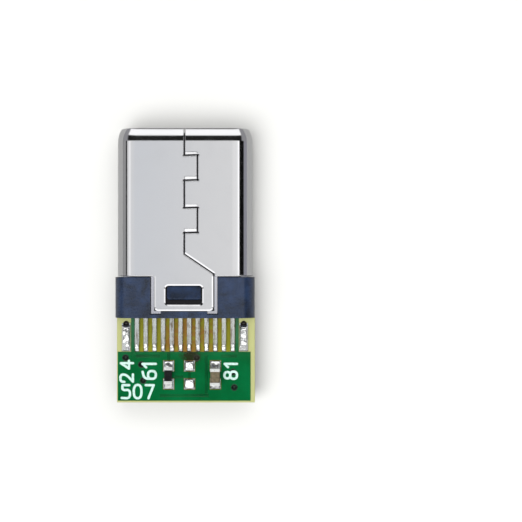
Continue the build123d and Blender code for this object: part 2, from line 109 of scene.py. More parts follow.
def dress(material, *names):
    for name in names:
        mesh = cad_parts[name].data
        mesh.materials.clear()
        mesh.materials.append(material)


def meshPiece(name, points, faces, material, slot, smooth=True):
    # points in millimetres; a face is a row of point numbers
    mesh = bpy.data.meshes.new(name)
    mesh.from_pydata((np.asarray(points) * mm).tolist(), [], [list(face) for face in faces])
    mesh.polygons.foreach_set("use_smooth", np.full(len(mesh.polygons), smooth))
    mesh.update()
    piece = bpy.data.objects.new(name, mesh)
    bpy.context.scene.collection.objects.link(piece)
    mesh.materials.append(material)
    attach(piece, "root")
    return piece


def gridFaces(rows, columns, closed=False):
    # quads between neighbouring points of a grid stored row by row; closed joins last column to first
    spans = columns if closed else columns - 1
    row, column = np.meshgrid(np.arange(rows - 1), np.arange(spans), indexing="ij")
    a = row * columns + column
    b = row * columns + (column + 1) % columns
    return np.stack([a, b, b + columns, a + columns], axis=-1).reshape(-1, 4)


def lumpFaces(rows, columns, turned):
    # the quads of a grid and one face round its rim, which closes it against what it sits on;
    # turned swaps every face's direction
    faces = gridFaces(rows, columns)
    numbers = np.arange(rows * columns).reshape(rows, columns)
    rim = np.concatenate([numbers[0], numbers[1:, -1], numbers[-1, -2::-1], numbers[-2:0:-1, 0]])
    if turned:
        return [*faces[:, ::-1].tolist(), rim.tolist()]
    return [*faces.tolist(), rim[::-1].tolist()]


def carriedBand(line, halfWidths, offsets, heights, closed):
    # a profile carried along a flat path: each station has points offset * half width to the left of the
    # path, at the given heights; offsets run from right to left
    run = np.roll(line, -1, axis=0) - np.roll(line, 1, axis=0) if closed else np.gradient(line, axis=0)
    run /= np.linalg.norm(run, axis=1, keepdims=True)
    across = np.stack([-run[:, 1], run[:, 0]], axis=1) * halfWidths[:, None]
    flat = line[:, None, :] + across[:, None, :] * offsets[None, :, None]
    lifts = np.broadcast_to(heights, flat.shape[:2])[..., None]
    points = np.concatenate([flat, lifts], axis=2).reshape(-1, 3)
    count, last = len(offsets), len(points)
    faces = gridFaces(len(line), count, closed=True)[:, ::-1].tolist()
    if closed:
        seam = np.arange(count)
        after = (seam + 1) % count
        ring = np.stack([seam, after, after + last - count, seam + last - count], axis=1)
        return points, faces + ring.tolist()
    return points, [*faces, list(range(count)), list(range(last - 1, last - 1 - count, -1))]


def joinParts(parts):
    # several (points, faces) pairs as one
    points, faces, count = [], [], 0
    for partPoints, partFaces in parts:
        points.append(partPoints)
        faces += [[corner + count for corner in face] for face in partFaces]
        count += len(partPoints)
    return np.concatenate(points), faces


# Sizes in the finishes are in millimetres. One pixel of the render is 0.06 mm, and the real grain of
# plated, moulded and fired surfaces is finer, so it is drawn as coarse as 0.05 to 0.12 mm to show at all.
# A stop is a pattern's value, from 0 to 1, and the colour there
roundSamples = 6


def grainedMaterial(name, finish):
    # one noise pattern mixes two colours and, where it has a height, lifts the surface
    material, tree, place = newMaterial(name)
    grain = addNode(
        tree, "ShaderNodeTexNoise",
        {"Scale": 1 / (finish["grainSize"] * mm), "Detail": finish["detail"],
         "Distortion": finish.get("distortion", 0.0)},
        {"Vector": place})
    colour = addNode(tree, "ShaderNodeValToRGB", {"stops": finish["stops"]}, {"Fac": grain})
    links = {"Base Color": colour}
    if "height" in finish:
        under = {"Height": grain}
        if "edgeRadius" in finish:
            under["Normal"] = addNode(
                tree, "ShaderNodeBevel", {"samples": roundSamples, "Radius": finish["edgeRadius"] * mm})
        links["Normal"] = addNode(
            tree, "ShaderNodeBump", {"Distance": finish["height"] * mm, "Strength": finish["strength"]},
            under)
    finishMaterial(tree, finish["shader"], links)
    return material


# Nickel plate on rolled stainless sheet: polished, so it mirrors the studio with little blur
shellFinish = {
    "colour": "CBCBCD",
    "edgeRadius": 0.11,
    "edgeSamples": 8,
    "waveSize": 2.6,
    "waveHeight": 0.0016,
    "grainSize": 0.05,
    "grainHeight": 0.00012,
    "grainStrength": 0.6,
    "smudgeSize": 0.9,
    "roughness": (0.06, 0.13),
}

# Stamped edges, rolled over by the die: round each latch window, round each tongue and along the slant
# seam; side is 1 round a hole and -1 round a tongue
rolledEdges = {
    "width": 0.085,
    "slope": 0.325,
    "boxes": [
        {"face": 1, "side": 1, "centre": (0, -10.065, 0), "half": (1.11, 0.575), "corner": 0.20},
        {"face": -1, "side": 1, "centre": (0, -10.065, 0), "half": (1.11, 0.575), "corner": 0.20},
        {"face": 1, "side": -1, "centre": (0, -8.51, 0), "half": (1.765, 2.50), "corner": 0.22},
        {"face": -1, "side": -1, "centre": (0, -8.93, 0), "half": (1.765, 2.50), "corner": 0.22},
    ],
    "boxDepth": 1000,
    "slantFrom": (0.03, -7.59),
    "slantTo": (1.805, -8.79),
    "slantGap": 0.04,
    "shellFace": 1.2,
    "faceSlack": 0.004,
}


def rolledBox(tree, scaled, split, box):
    # distance from a rounded box: length of max(|p - centre| - half + corner, 0); the surface tips down
    # towards the box's edge where that length is within one width of the corner radius, on one face.
    # The box is deeper than the part, so only the place across and along counts
    width, corner, face = rolledEdges["width"], box["corner"], box["face"]
    core = (box["half"][0] - corner, box["half"][1] - corner, rolledEdges["boxDepth"])
    moved = addNode(
        tree, "ShaderNodeVectorMath", {"operation": "SUBTRACT", 1: box["centre"]}, {0: scaled})
    folded = addNode(tree, "ShaderNodeVectorMath", {"operation": "ABSOLUTE"}, {0: moved})
    less = addNode(tree, "ShaderNodeVectorMath", {"operation": "SUBTRACT", 1: core}, {0: folded})
    beyond = addNode(tree, "ShaderNodeVectorMath", {"operation": "MAXIMUM", 1: (0, 0, 0)}, {0: less})
    length = addNode(tree, "ShaderNodeVectorMath", {"operation": "LENGTH"}, {0: beyond}).outputs["Value"]
    near = addNode(
        tree, "ShaderNodeMath",
        {"operation": "COMPARE", 1: corner + box["side"] * width / 2, 2: width / 2}, {0: length})
    onFace = addNode(
        tree, "ShaderNodeMath",
        {"operation": "COMPARE", 1: face * rolledEdges["shellFace"], 2: rolledEdges["faceSlack"]},
        {0: split.outputs["Z"]})
    behind = addNode(
        tree, "ShaderNodeMath", {"operation": "LESS_THAN", 1: shellRear}, {0: split.outputs["Y"]})
    placed = addNode(tree, "ShaderNodeMath", {"operation": "MULTIPLY"}, {0: near, 1: onFace})
    share = addNode(tree, "ShaderNodeMath", {"operation": "MULTIPLY"}, {0: placed, 1: behind})
    unit = addNode(tree, "ShaderNodeVectorMath", {"operation": "NORMALIZE"}, {0: beyond})
    sign = addNode(tree, "ShaderNodeVectorMath", {"operation": "SIGN"}, {0: moved})
    outwards = addNode(tree, "ShaderNodeVectorMath", {"operation": "MULTIPLY"}, {0: unit, 1: sign})
    slope = -box["side"] * rolledEdges["slope"]
    tipped = addNode(
        tree, "ShaderNodeVectorMath",
        {"operation": "MULTIPLY_ADD", 1: (slope, slope, 0), 2: (0, 0, face)}, {0: outwards})
    return tipped, share


def rolledSlant(tree, scaled, split):
    # distance ahead of the slant seam's middle line, and place along it; the surface tips back to the seam
    start, end = np.array(rolledEdges["slantFrom"]), np.array(rolledEdges["slantTo"])
    run = float(np.linalg.norm(end - start))
    along = (end - start) / run
    ahead = np.array([-along[1], along[0]])
    width, gap = rolledEdges["width"], rolledEdges["slantGap"]
    moved = addNode(
        tree, "ShaderNodeVectorMath", {"operation": "SUBTRACT", 1: (*start, 0)}, {0: scaled})
    share = addNode(
        tree, "ShaderNodeMath",
        {"operation": "COMPARE", 1: rolledEdges["shellFace"], 2: rolledEdges["faceSlack"]},
        {0: split.outputs["Z"]})
    for direction, middle, reach in ((ahead, gap + width / 2, width / 2), (along, run / 2, run / 2)):
        distance = addNode(
            tree, "ShaderNodeVectorMath", {"operation": "DOT_PRODUCT", 1: (*direction, 0)}, {0: moved})
        within = addNode(
            tree, "ShaderNodeMath", {"operation": "COMPARE", 1: middle, 2: reach},
            {0: distance.outputs["Value"]})
        share = addNode(tree, "ShaderNodeMath", {"operation": "MULTIPLY"}, {0: share, 1: within})
    tilt = -rolledEdges["slope"] * ahead
    tipped = addNode(tree, "ShaderNodeCombineXYZ", {"X": tilt[0], "Y": tilt[1], "Z": 1.0})
    return tipped, share


def polishedNickel():
    material, tree, place = newMaterial("polishedNickelPlate")
    edge = addNode(
        tree, "ShaderNodeBevel",
        {"samples": shellFinish["edgeSamples"], "Radius": shellFinish["edgeRadius"] * mm})
    scaled = addNode(tree, "ShaderNodeVectorMath", {"operation": "SCALE", "Scale": 1 / mm}, {0: place})
    split = addNode(tree, "ShaderNodeSeparateXYZ", {}, {"Vector": scaled})
    rolled = [rolledBox(tree, scaled, split, box) for box in rolledEdges["boxes"]]
    rolled.append(rolledSlant(tree, scaled, split))
    for tipped, share in rolled:
        mixed = addNode(tree, "ShaderNodeMix", {"data_type": "VECTOR"}, {0: share, 4: edge, 5: tipped})
        edge = mixed.outputs[1]
    edge = addNode(tree, "ShaderNodeVectorMath", {"operation": "NORMALIZE"}, {0: edge})
    wave = addNode(
        tree, "ShaderNodeTexNoise", {"Scale": 1 / (shellFinish["waveSize"] * mm), "Detail": 1.0},
        {"Vector": place})
    grain = addNode(
        tree, "ShaderNodeTexNoise", {"Scale": 1 / (shellFinish["grainSize"] * mm), "Detail": 2.0},
        {"Vector": place})
    waved = addNode(
        tree, "ShaderNodeBump", {"Distance": shellFinish["waveHeight"] * mm},
        {"Height": wave, "Normal": edge})
    grained = addNode(
        tree, "ShaderNodeBump",
        {"Distance": shellFinish["grainHeight"] * mm, "Strength": shellFinish["grainStrength"]},
        {"Height": grain, "Normal": waved})
    smudge = addNode(
        tree, "ShaderNodeTexNoise", {"Scale": 1 / (shellFinish["smudgeSize"] * mm), "Detail": 4.0},
        {"Vector": place})
    smooth, smeared = shellFinish["roughness"]
    roughness = addNode(
        tree, "ShaderNodeMapRange", {"From Min": 0.3, "From Max": 0.7, "To Min": smooth, "To Max": smeared},
        {"Value": smudge})
    finishMaterial(
        tree, {"Base Color": hexColour(shellFinish["colour"]), "Metallic": 1.0},
        {"Normal": grained, "Roughness": roughness})
    return material


# Thin stamped steel springs: bright where they lie open beside and behind the tongue; under the shell their
# colour turns near black, which is painted shade of the shell over them
springFinish = {
    "bright": "C9C9D0",
    # the dull colour is painted shade where the shell covers the springs, not a finish of the steel
    "dull": "2A2A2C",
    "roughness": 0.2,
    "edgeRadius": 0.03,
    "grainSize": 0.06,
    "grainHeight": 0.0004,
    "grainStrength": 0.6,
    "openBeside": 1.80,
    "openBehind": -11.02,
    "fade": 0.02,
}


def springSteelShadedUnderShell():
    material, tree, place = newMaterial("springSteelShadedUnderShell")
    edge = addNode(
        tree, "ShaderNodeBevel", {"samples": roundSamples, "Radius": springFinish["edgeRadius"] * mm})
    grain = addNode(
        tree, "ShaderNodeTexNoise", {"Scale": 1 / (springFinish["grainSize"] * mm), "Detail": 3.0},
        {"Vector": place})
    bumped = addNode(
        tree, "ShaderNodeBump",
        {"Distance": springFinish["grainHeight"] * mm, "Strength": springFinish["grainStrength"]},
        {"Height": grain, "Normal": edge})
    split = addNode(tree, "ShaderNodeSeparateXYZ", {}, {"Vector": place})
    side = addNode(tree, "ShaderNodeMath", {"operation": "ABSOLUTE"}, {0: split.outputs["X"]})
    fade, openBeside, openBehind = [springFinish[key] for key in ("fade", "openBeside", "openBehind")]
    behind, beside, beyond = [
        addNode(tree, "ShaderNodeMapRange", {"From Min": start * mm, "From Max": end * mm}, {"Value": value})
        for value, start, end in (
            (split.outputs["Y"], shellRear + fade, shellRear - fade),
            (side, openBeside, openBeside + 2 * fade),
            (split.outputs["Y"], openBehind, openBehind - fade))]
    clear = addNode(tree, "ShaderNodeMath", {"operation": "MAXIMUM"}, {0: beside, 1: beyond})
    unshadedShare = addNode(tree, "ShaderNodeMath", {"operation": "MULTIPLY"}, {0: behind, 1: clear})
    # the colour goes from the painted shade under the shell to bright where the springs lie open
    colour = addNode(
        tree, "ShaderNodeValToRGB",
        {"stops": [(0.0, springFinish["dull"]), (1.0, springFinish["bright"])]}, {"Fac": unshadedShare})
    finishMaterial(
        tree, {"Metallic": 1.0, "Roughness": springFinish["roughness"]},
        {"Base Color": colour, "Normal": bumped})
    return material


# Navy liquid-crystal polymer, injection moulded: satin, with faint cloudy flow marks
collarFinish = {
    "stops": [(0.35, "0D1624"), (0.7, "1A2A45")],
    "roughness": (0.24, 0.34),
    "edgeRadius": 0.05,
    "flowSize": 0.8,
    "grainSize": 0.05,
    "grainHeight": 0.0010,
    "grainStrength": 0.5,
}


def mouldedNavy():
    material, tree, place = newMaterial("mouldedNavyPolymer")
    edge = addNode(
        tree, "ShaderNodeBevel", {"samples": roundSamples, "Radius": collarFinish["edgeRadius"] * mm})
    grain = addNode(
        tree, "ShaderNodeTexNoise", {"Scale": 1 / (collarFinish["grainSize"] * mm), "Detail": 4.0},
        {"Vector": place})
    bumped = addNode(
        tree, "ShaderNodeBump",
        {"Distance": collarFinish["grainHeight"] * mm, "Strength": collarFinish["grainStrength"]},
        {"Height": grain, "Normal": edge})
    flow = addNode(
        tree, "ShaderNodeTexNoise",
        {"Scale": 1 / (collarFinish["flowSize"] * mm), "Detail": 5.0, "Roughness": 0.6, "Distortion": 0.6},
        {"Vector": place})
    colour = addNode(tree, "ShaderNodeValToRGB", {"stops": collarFinish["stops"]}, {"Fac": flow})
    glossy, satin = collarFinish["roughness"]
    roughness = addNode(
        tree, "ShaderNodeMapRange", {"From Min": 0.3, "From Max": 0.7, "To Min": glossy, "To Max": satin},
        {"Value": grain})
    finishMaterial(tree, {"IOR": 1.5}, {"Base Color": colour, "Normal": bumped, "Roughness": roughness})
    return material


# Tin plate on stamped copper alloy: silver, streaked along the strip, with dull spots of flux
tailFinish = {
    "stops": [(0.36, "857B6C"), (0.50, "DDE0DC")],
    "roughness": (0.38, 0.16),
    "edgeRadius": 0.04,
    "streakWidth": 0.09,
    "streakStretch": 0.07,
    "streakHeight": 0.005,
    "streakStrength": 0.8,
    "spotSize": 0.16,
    "spotShare": 0.35,
}


def tinnedCopper():
    material, tree, place = newMaterial("tinPlatedCopper")
    edge = addNode(
        tree, "ShaderNodeBevel", {"samples": roundSamples, "Radius": tailFinish["edgeRadius"] * mm})
    along = addNode(
        tree, "ShaderNodeMapping", {"Scale": (1.0, tailFinish["streakStretch"], 1.0)}, {"Vector": place})
    streak = addNode(
        tree, "ShaderNodeTexNoise",
        {"Scale": 1 / (tailFinish["streakWidth"] * mm), "Detail": 2.0, "Distortion": 0.3}, {"Vector": along})
    spot = addNode(
        tree, "ShaderNodeTexNoise", {"Scale": 1 / (tailFinish["spotSize"] * mm), "Detail": 3.0},
        {"Vector": place})
    bumped = addNode(
        tree, "ShaderNodeBump",
        {"Distance": tailFinish["streakHeight"] * mm, "Strength": tailFinish["streakStrength"]},
        {"Height": streak, "Normal": edge})
    mixed = addNode(
        tree, "ShaderNodeMix", {"data_type": "FLOAT", 0: tailFinish["spotShare"]}, {2: streak, 3: spot})
    colour = addNode(tree, "ShaderNodeValToRGB", {"stops": tailFinish["stops"]}, {"Fac": mixed})
    dull, bright = tailFinish["roughness"]
    roughness = addNode(
        tree, "ShaderNodeMapRange", {"From Min": 0.35, "From Max": 0.6, "To Min": dull, "To Max": bright},
        {"Value": mixed})
    finishMaterial(tree, {"Metallic": 1.0}, {"Base Color": colour, "Normal": bumped, "Roughness": roughness})
    return material


# Glass cloth in epoxy, etched and so nearly matt: olive between the tails, browned by rosin, pale elsewhere
boardFinish = {
    "stops": [(0.40, "6A6905"), (0.66, "6E4E10")],
    "pale": "929463",
    "roughness": 0.6,
    "edgeRadius": 0.04,
    "yarnPitch": 0.42,
    "yarnShare": 0.08,
    "cloudSize": 0.9,
    "clothHeight": 0.004,
    "clothStrength": 0.6,
    "scorchHalf": 1.9,
    "scorchShares": (0.16, -0.10),
    "fieldHalf": 3.20,
    "fieldRear": -16.50,
    "fieldFade": 0.06,
}


def glassEpoxy():
    material, tree, place = newMaterial("glassEpoxyLaminate")
    split = addNode(tree, "ShaderNodeSeparateXYZ", {}, {"Vector": place})
    waves = []
    for axis in ("X", "Y"):
        turned = addNode(
            tree, "ShaderNodeMath", {"operation": "MULTIPLY", 1: math.tau / (boardFinish["yarnPitch"] * mm)},
            {0: split.outputs[axis]})
        waves.append(addNode(tree, "ShaderNodeMath", {"operation": "SINE"}, {0: turned}))
    weave = addNode(tree, "ShaderNodeMath", {"operation": "MULTIPLY"}, {0: waves[0], 1: waves[1]})
    cloud = addNode(
        tree, "ShaderNodeTexNoise",
        {"Scale": 1 / (boardFinish["cloudSize"] * mm), "Detail": 4.0, "Roughness": 0.6}, {"Vector": place})
    cloth = addNode(
        tree, "ShaderNodeMath", {"operation": "MULTIPLY_ADD", 1: boardFinish["yarnShare"]},
        {0: weave, 2: cloud})
    side = addNode(tree, "ShaderNodeMath", {"operation": "ABSOLUTE"}, {0: split.outputs["X"]})
    # the iron dwelt on the middle tails, so the laminate is browner there
    middle, outside = boardFinish["scorchShares"]
    scorch = addNode(
        tree, "ShaderNodeMapRange",
        {"From Max": boardFinish["scorchHalf"] * mm, "To Min": middle, "To Max": outside}, {"Value": side})
    heated = addNode(tree, "ShaderNodeMath", {"operation": "ADD"}, {0: cloth, 1: scorch})
    inner = addNode(tree, "ShaderNodeValToRGB", {"stops": boardFinish["stops"]}, {"Fac": heated})
    fade, fieldHalf, fieldRear = [boardFinish[key] for key in ("fieldFade", "fieldHalf", "fieldRear")]
    beside, behind = [
        addNode(tree, "ShaderNodeMapRange", {"From Min": start * mm, "From Max": end * mm}, {"Value": value})
        for value, start, end in (
            (side, fieldHalf, fieldHalf + fade),
            (split.outputs["Y"], fieldRear, fieldRear - fade))]
    margin = addNode(tree, "ShaderNodeMath", {"operation": "MAXIMUM"}, {0: beside, 1: behind})
    colour = addNode(
        tree, "ShaderNodeMix", {"data_type": "RGBA", 7: hexColour(boardFinish["pale"])},
        {0: margin, 6: inner})
    edge = addNode(
        tree, "ShaderNodeBevel", {"samples": roundSamples, "Radius": boardFinish["edgeRadius"] * mm})
    bumped = addNode(
        tree, "ShaderNodeBump",
        {"Distance": boardFinish["clothHeight"] * mm, "Strength": boardFinish["clothStrength"]},
        {"Height": cloth, "Normal": edge})
    finishMaterial(
        tree, {"IOR": 1.55, "Roughness": boardFinish["roughness"], "Specular IOR Level": 0.3},
        {"Base Color": colour.outputs[2], "Normal": bumped})
    return material


# Green photo-imaged lacquer over copper and laminate: glossy, clouded, brown where flux has burnt on
maskFinish = {
    "dark": "024520",
    "light": "03512A",
    "flux": "1C1A0C",
    "roughness": 0.05,
    "edgeRadius": 0.03,
    "cloudSize": 1.5,
    "grainSize": 0.10,
    "grainHeight": 0.0012,
    "grainStrength": 0.5,
    "fluxPlace": (0.38, -13.75),
    "fluxFull": 0.3,
    "fluxReach": 0.75,
    "fluxShare": 0.92,
    "fluxRagged": 0.9,
}


def greenMask(name="greenSolderMask", dark=maskFinish["dark"], light=maskFinish["light"]):
    material, tree, place = newMaterial(name)
    cloud = addNode(
        tree, "ShaderNodeTexNoise", {"Scale": 1 / (maskFinish["cloudSize"] * mm), "Detail": 4.0},
        {"Vector": place})
    fine = addNode(
        tree, "ShaderNodeTexNoise", {"Scale": 1 / (maskFinish["grainSize"] * mm), "Detail": 3.0},
        {"Vector": place})
    lacquer = addNode(tree, "ShaderNodeValToRGB", {"stops": [(0.35, dark), (0.65, light)]}, {"Fac": cloud})
    x, y = maskFinish["fluxPlace"]
    centred = addNode(
        tree, "ShaderNodeMapping", {"Location": (-x * mm, -y * mm, 0), "Scale": (1.0, 1.0, 0.0)},
        {"Vector": place})
    away = addNode(tree, "ShaderNodeVectorMath", {"operation": "LENGTH"}, {0: centred})
    sway = maskFinish["fluxRagged"] * mm
    ragged = addNode(
        tree, "ShaderNodeMath", {"operation": "MULTIPLY_ADD", 1: sway, 2: -sway / 2}, {0: fine})
    reach = addNode(
        tree, "ShaderNodeMath", {"operation": "ADD"}, {0: away.outputs["Value"], 1: ragged})
    burnt = addNode(
        tree, "ShaderNodeMapRange",
        {"From Min": maskFinish["fluxFull"] * mm, "From Max": maskFinish["fluxReach"] * mm,
         "To Min": maskFinish["fluxShare"], "To Max": 0.0},
        {"Value": reach})
    colour = addNode(
        tree, "ShaderNodeMix", {"data_type": "RGBA", 7: hexColour(maskFinish["flux"])},
        {0: burnt, 6: lacquer})
    edge = addNode(
        tree, "ShaderNodeBevel", {"samples": roundSamples, "Radius": maskFinish["edgeRadius"] * mm})
    bumped = addNode(
        tree, "ShaderNodeBump",
        {"Distance": maskFinish["grainHeight"] * mm, "Strength": maskFinish["grainStrength"]},
        {"Height": fine, "Normal": edge})
    finishMaterial(
        tree, {"IOR": 1.5, "Roughness": maskFinish["roughness"]},
        {"Base Color": colour.outputs[2], "Normal": bumped})
    return material


# Black glass-filled nylon, moulded: matt and slightly grainy
nylonFinish = {
    "stops": [(0.3, "0C0D10"), (0.7, "191B1F")],
    "edgeRadius": 0.03,
    "grainSize": 0.06,
    "detail": 4.0,
    "height": 0.0015,
    "strength": 0.6,
    "shader": {"IOR": 1.53, "Roughness": 0.42},
}

# Hot-air levelled tin on copper foil: bright, faintly rippled, slightly blue
landFinish = {
    "stops": [(0.3, "C6D2D6"), (0.7, "E2E8E8")],
    "edgeRadius": 0.03,
    "grainSize": 0.35,
    "detail": 3.0,
    "height": 0.006,
    "strength": 0.8,
    "shader": {"Metallic": 1.0, "Roughness": 0.26},
}

# Matt electroplated tin on the ends of the chip parts: a fine grey-white grain
capFinish = {
    "stops": [(0.3, "D8D9D6"), (0.6, "F2F4F2")],
    "edgeRadius": 0.05,
    "grainSize": 0.07,
    "detail": 3.0,
    "height": 0.003,
    "strength": 0.6,
    "shader": {"Metallic": 1.0, "Roughness": 0.45},
}

# Chip parts: a fired glaze over ceramic, black and glossy on one, sandy brown and dull on the other
resistorFinish = {
    "stops": [(0.35, "040405"), (0.65, "0A0A0C")],
    "edgeRadius": 0.05,
    "grainSize": 0.12,
    "detail": 4.0,
    "height": 0.002,
    "strength": 0.6,
    "shader": {"IOR": 1.6, "Roughness": 0.14},
}
capacitorFinish = {
    **resistorFinish,
    "stops": [(0.35, "38301D"), (0.65, "5B5038")],
    "height": 0.010,
    "shader": {"IOR": 1.6, "Roughness": 0.45},
}

# Tin solder after reflow: a bright skin, puckered where it froze last, dull where flux has dried on it
solderFinish = {
    "stops": [(0.30, "7A6C56"), (0.38, "F4F5F4")],
    "edgeRadius": 0.04,
    "grainSize": 0.20,
    "detail": 2.0,
    "distortion": 0.5,
    "height": 0.005,
    "strength": 0.8,
    "shader": {"Metallic": 1.0, "Roughness": 0.2},
}

solder = grainedMaterial("reflowedTinSolder", solderFinish)
dress(polishedNickel(), "outer_shell")
dress(springSteelShadedUnderShell(), "upper_ground_plate", "lower_ground_plate", "latch_frame")
dress(mouldedNavy(), "upper_carrier", "lower_carrier")
dress(grainedMaterial("mouldedBlackNylon", nylonFinish), "front_housing")
dress(tinnedCopper(), *[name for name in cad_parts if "_contact_" in name])
dress(solder, "latch_solder_left", "latch_solder_right")
dress(grainedMaterial("mattTinPlate", capFinish), "resistor_caps", "capacitor_caps")
dress(grainedMaterial("levelledTinOnCopper", landFinish),
      "upper_lands", "lower_lands", "component_lands", *[f"wire_pad_{number}" for number in (1, 2, 3, 4)])
dress(glassEpoxy(), "circuit_board")
dress(greenMask(), "upper_mask", "lower_mask")
dress(grainedMaterial("blackGlazedResistor", resistorFinish), "resistor_body")
dress(grainedMaterial("sandyCeramicCapacitor", capacitorFinish), "capacitor_body")
print("CAD nodes dressed")


# Solder that froze in lumps on the tails, the chip parts, the spare lands and the latch lands
solderShapes = {
    "gridAcross": 13,
    "gridAlong": 17,
    "lumpShare": 0.14,
    "lumpWaves": 5,
    "lumpSizes": (0.22, 0.55),
    "endTaper": 0.10,
    "sideTaper": 0.06,
}


def solderLumps(xs, ys, seed):
    # a sum of cosine waves with seeded lengths, directions and phases
    random = np.random.default_rng(seed)
    count = solderShapes["lumpWaves"]
    shortest, longest = solderShapes["lumpSizes"]
    draws = random.uniform([shortest, 0, 0], [longest, math.pi, math.tau], (count, 3))
    size, turn, phase = draws.T[:, :, None, None]
    waves = np.cos((xs * np.cos(turn) + ys * np.sin(turn)) * math.tau / size + phase)
    return waves.sum(axis=0) * solderShapes["lumpShare"] / math.sqrt(count)


def solderDome(x, front, rear, width, height, seed, lean, facing=1):
    # over u and v from -1 to 1: height * (1 - u^4)^0.5 * (1 - v^4)^0.5 * (1 + lean * v) * (1 + lumps);
    # v = 1 is the front end
    across, along = solderShapes["gridAcross"], solderShapes["gridAlong"]
    v, u = np.meshgrid(np.linspace(-1, 1, along), np.linspace(-1, 1, across), indexing="ij")
    xs = x + width / 2 * u * (1 - solderShapes["endTaper"] * v ** 4)
    ys = (front + rear) / 2 + (front - rear) / 2 * v * (1 - solderShapes["sideTaper"] * u ** 4)
    rise = height * np.sqrt((1 - u ** 4) * (1 - v ** 4)) * (1 + lean * v) * (1 + solderLumps(xs, ys, seed))
    points = np.stack([xs, ys, facing * (landFace + rise)], axis=-1).reshape(-1, 3)
    return points, lumpFaces(along, across, facing < 0)


tailShapes = {
    "count": 12,
    "pitch": 0.5284,
    "width": 0.28,
    "front": -1.52,
    "rear": -2.06,
    "height": 0.17,
    "lean": 0.6,
    "sway": 0.012,
    "frontSway": 0.04,
    "widthShares": (0.92, 1.1),
    "heightShares": (0.85, 1.15),
}


def tailSolder(name, node, facing, seed):
    # one dome at the rear end of each tail, every one a little off in place, width and height
    shape = tailShapes
    random = np.random.default_rng(seed)
    xs = (np.arange(shape["count"]) - (shape["count"] - 1) / 2) * shape["pitch"]
    domes = [
        solderDome(
            x + random.uniform(-shape["sway"], shape["sway"]),
            boardFront + shape["front"] + random.uniform(-shape["frontSway"], shape["frontSway"]),
            boardFront + shape["rear"], shape["width"] * random.uniform(*shape["widthShares"]),
            shape["height"] * random.uniform(*shape["heightShares"]), seed + index, shape["lean"], facing)
        for index, x in enumerate(xs)]
    piece = meshPiece(name, *joinParts(domes), solder, "solder")
    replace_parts(piece, node)


tailSolder("solderOnUpperTails", "upper_tail_solder", 1, 11)
tailSolder("solderOnLowerTails", "lower_tail_solder", -1, 41)

chipShapes = {
    "rowBack": 3.48,
    "landReach": 0.87,
    "filletSteps": 15,
    "footShare": 0.9,
    "frontPower": 1.5,
    "rearPower": 0.8,
    "rearHeight": 0.29,
    "resistor": {"x": -0.99, "slip": 0, "inner": 0.40, "width": 0.60, "height": 0.37, "seed": 71},
    "capacitor": {"x": 1.858, "slip": 0.08, "inner": 0.38, "width": 0.64, "height": 0.50, "seed": 73},
    "spareX": 0.278,
    "spareLean": 0.5,
    # front and rear edge from the row's middle, width, height and seed
    "spareDomes": [(0.87, 0.23, 0.62, 0.18, 75), (-0.23, -0.87, 0.64, 0.16, 76)],
}
rowMiddle = boardFront - chipShapes["rowBack"]


def solderFillet(x, outer, inner, width, height, power, seed):
    # over u from -1 to 1 and t from 0 at the land's outer edge to 1 at the chip:
    # height * t^power * (1 - u^4)^0.5 * (1 + lumps); a last station at t = 1 closes it with an upright end
    steps, across = chipShapes["filletSteps"], solderShapes["gridAcross"]
    run = np.append(np.linspace(0, 1, steps - 1), 1)
    t, u = np.meshgrid(run, np.linspace(-1, 1, across), indexing="ij")
    ys = outer + (inner - outer) * t
    foot = chipShapes["footShare"]
    xs = x + width / 2 * u * (foot + (1 - foot) * np.sqrt(t))
    rise = height * t ** power * np.sqrt(1 - u ** 4) * (1 + solderLumps(xs, ys, seed))
    rise[-1] = 0
    points = np.stack([xs, ys, landFace + rise], axis=-1).reshape(-1, 3)
    return points, lumpFaces(steps, across, inner < outer)


def chipSolder(name, node, chip):
    # one fillet against each end of a chip part, from the land's outer edge up over the plated end;
    # slip is how far back the chip sits on its lands, inner half its length between the fillets
    shape = chipShapes
    seat = rowMiddle - chip["slip"]
    fillets = [
        solderFillet(
            chip["x"], rowMiddle + shape["landReach"], seat + chip["inner"], chip["width"],
            chip["height"], shape["frontPower"], chip["seed"]),
        solderFillet(
            chip["x"], rowMiddle - shape["landReach"], seat - chip["inner"], chip["width"],
            shape["rearHeight"], shape["rearPower"], chip["seed"] + 1),
    ]
    piece = meshPiece(name, *joinParts(fillets), solder, "solder")
    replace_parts(piece, node)


chipSolder("solderOnResistor", "resistor_solder", chipShapes["resistor"])
chipSolder("solderOnCapacitor", "capacitor_solder", chipShapes["capacitor"])
spareDomes = [
    solderDome(
        chipShapes["spareX"], rowMiddle + front, rowMiddle + rear, width, height, seed,
        chipShapes["spareLean"])
    for front, rear, width, height, seed in chipShapes["spareDomes"]]
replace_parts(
    meshPiece("solderOnSpareLands", *joinParts(spareDomes), solder, "solder"), "spare_solder")

latchShapes = {
    "x": 3.58,
    "front": -0.50,
    "rear": -2.02,
    "width": 0.50,
    "height": 0.20,
    "lean": 0.3,
    "seed": 81,
}
latchDomes = [
    solderDome(
        side * latchShapes["x"], boardFront + latchShapes["front"], boardFront + latchShapes["rear"],
        latchShapes["width"], latchShapes["height"], latchShapes["seed"] + side, latchShapes["lean"])
    for side in (-1, 1)]
meshPiece("solderOnLatchLands", *joinParts(latchDomes), solder, "solder")
print("solder made")


